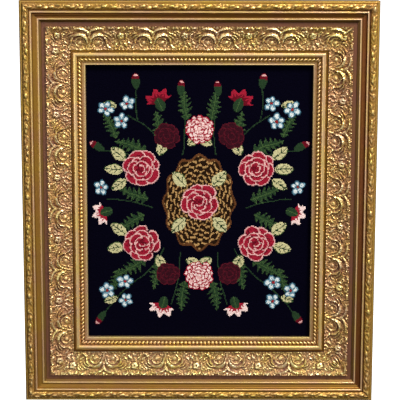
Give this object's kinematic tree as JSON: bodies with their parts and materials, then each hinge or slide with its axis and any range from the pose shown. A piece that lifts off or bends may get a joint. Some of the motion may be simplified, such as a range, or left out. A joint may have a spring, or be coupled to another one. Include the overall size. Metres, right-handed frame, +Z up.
{
  "type": "knotted rug in a gilt picture frame",
  "caption": "Small flat knotted floral rug, held upright in a wide moulded gilt wooden frame with carved foliage.",
  "frame": {"origin": "on the back face of the top rail, halfway along it, 40 mm below the frame's top edge, where the frame meets the wall", "axes": "+Z up along the frame's height, +Y into the wall, +X to the right seen from the front"},
  "size_m": [0.636, 0.0493, 0.729],
  "materials": {
    "gilt": "wood with a metallic gold finish, worn over a red-brown ground",
    "aged_gilt": "moulded composition with a metallic gold finish and dark patina in its hollows",
    "pile": "short knotted wool pile, dark navy ground with red, cream, green and blue flowers"
  },
  "bodies": {
    "root": {"rail_top": "gilt", "ornament_top": "aged_gilt", "rim_leaves_top": "aged_gilt", "beads_top": "gilt", "rail_right": "gilt", "ornament_right": "aged_gilt", "rim_leaves_right": "aged_gilt", "beads_right": "gilt", "rail_bottom": "gilt", "ornament_bottom": "aged_gilt", "rim_leaves_bottom": "aged_gilt", "beads_bottom": "gilt", "rail_left": "gilt", "ornament_left": "aged_gilt", "rim_leaves_left": "aged_gilt", "beads_left": "gilt", "rug": "pile"}
  },
  "joints": []
}
